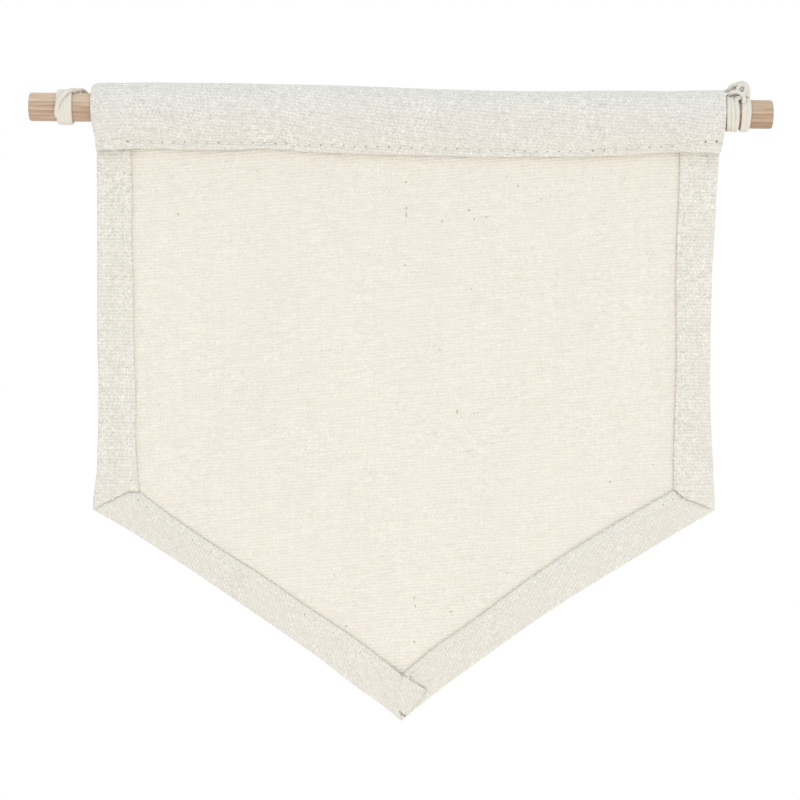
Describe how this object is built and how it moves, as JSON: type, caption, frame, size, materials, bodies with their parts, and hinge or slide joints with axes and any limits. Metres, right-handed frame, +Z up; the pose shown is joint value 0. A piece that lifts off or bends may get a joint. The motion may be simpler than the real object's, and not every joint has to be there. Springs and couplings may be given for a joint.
{
  "type": "pin display pennant on a wooden dowel",
  "caption": "Hemmed canvas pennant with a pointed lower edge, hung by its heading from a wooden dowel with cord ties, for displaying pins.",
  "frame": {"origin": "middle of the dowel's axis", "axes": "+X along the dowel to the viewer's right, +Z up, the pennant's front faces -Y"},
  "size_m": [0.2084, 0.0147, 0.1807],
  "materials": {
    "canvas": "plain-weave cotton canvas, whiter on the face that folds forward as the hems and heading",
    "wood": "bare sanded hardwood with fine darker grain lines",
    "cord": "twisted natural cotton cord"
  },
  "bodies": {
    "root": {"canvas": "canvas", "dowel": "wood", "tie_left": "cord", "tie_right": "cord", "hanging_cord": "cord"}
  },
  "joints": []
}
